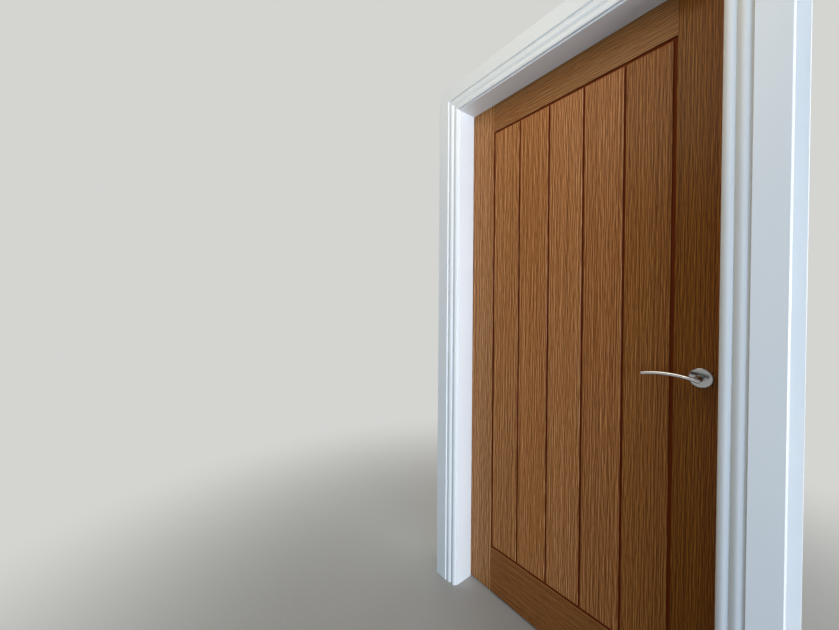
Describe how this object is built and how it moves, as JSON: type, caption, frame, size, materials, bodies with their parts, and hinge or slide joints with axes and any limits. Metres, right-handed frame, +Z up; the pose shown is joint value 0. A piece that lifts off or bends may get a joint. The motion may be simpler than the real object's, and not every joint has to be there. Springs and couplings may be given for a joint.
{
  "type": "panelled internal door with its frame",
  "caption": "Oak door leaf of upright grooved boards between stiles and rails, hung on butt hinges in a white rebated lining with moulded architraves, with a sprung lever latch.",
  "frame": {"origin": "on the floor, in the middle of the overall width and depth", "axes": "+X from the hinge side to the latch side, +Y from the hall side into the room that the leaf opens into, +Z up"},
  "size_m": [1.064, 0.209, 2.099],
  "materials": {
    "lining_paint": "white satin paint over softwood",
    "architrave_paint": "white satin paint over softwood",
    "oak_stile": "stained oak, satin, grain upright",
    "oak_rail": "stained oak, satin, grain level",
    "oak_board": "stained oak, satin, grain upright",
    "dowel_wood": "plain beech",
    "handle_metal": "satin",
    "fixing_steel": "plated",
    "latch_metal": "satin",
    "hinge_steel": "satin",
    "inner_steel": "plain pressed steel"
  },
  "bodies": {
    "frame": {"hinge_jamb": "lining_paint", "latch_jamb": "lining_paint", "head": "lining_paint", "lining_screws": "fixing_steel", "hall_architrave_hinge": "architrave_paint", "hall_architrave_latch": "architrave_paint", "hall_architrave_head": "architrave_paint", "room_architrave_hinge": "architrave_paint", "room_architrave_latch": "architrave_paint", "room_architrave_head": "architrave_paint", "hinge_frame_plate_top": "hinge_steel", "hinge_frame_plate_middle": "hinge_steel", "hinge_frame_plate_bottom": "hinge_steel", "hinge_pin_top": "hinge_steel", "hinge_pin_middle": "hinge_steel", "hinge_pin_bottom": "hinge_steel", "hinge_frame_screws": "fixing_steel", "strike_plate": "latch_metal", "strike_screws": "fixing_steel"},
    "leaf": {"hinge_stile": "oak_stile", "latch_stile": "oak_stile", "top_rail": "oak_rail", "bottom_rail": "oak_rail", "board_1": "oak_board", "board_2": "oak_board", "board_3": "oak_board", "board_4": "oak_board", "board_5": "oak_board", "rail_dowels": "dowel_wood", "hinge_leaf_plate_top": "hinge_steel", "hinge_leaf_plate_middle": "hinge_steel", "hinge_leaf_plate_bottom": "hinge_steel", "hinge_leaf_screws": "fixing_steel", "latch_case": "inner_steel", "latch_face_plate": "latch_metal", "latch_screws": "fixing_steel", "rose_hall": "handle_metal", "rose_room": "handle_metal", "rose_plate_hall": "inner_steel", "rose_plate_room": "inner_steel", "rose_bolts": "fixing_steel"},
    "handle": {"lever_hall": "handle_metal", "lever_room": "handle_metal", "spindle": "inner_steel", "follower": "inner_steel", "grub_screws": "fixing_steel"},
    "bolt": {"latch_bolt": "latch_metal"}
  },
  "joints": [
    {"name": "door_swing", "type": "hinge", "parent": "frame", "child": "leaf", "pos_m": [-0.4205, 0.051, 0], "axis": [0, 0, 1], "range_deg": [0, 170]},
    {"name": "lever_turn", "type": "hinge", "parent": "leaf", "child": "handle", "pos_m": [0.364, 0.0225, 0.985], "axis": [0, -1, 0], "range_deg": [0, 60], "stiffness_Nm_per_rad": 1.2, "springref_deg": -28.65},
    {"name": "latch_slide", "type": "slide", "parent": "leaf", "child": "bolt", "axis": [-1, 0, 0], "range_m": [0, 0.01]}
  ],
  "couplings": [
    {"joint": "latch_slide", "follows": "lever_turn", "m_per_rad": 0.009549}
  ]
}
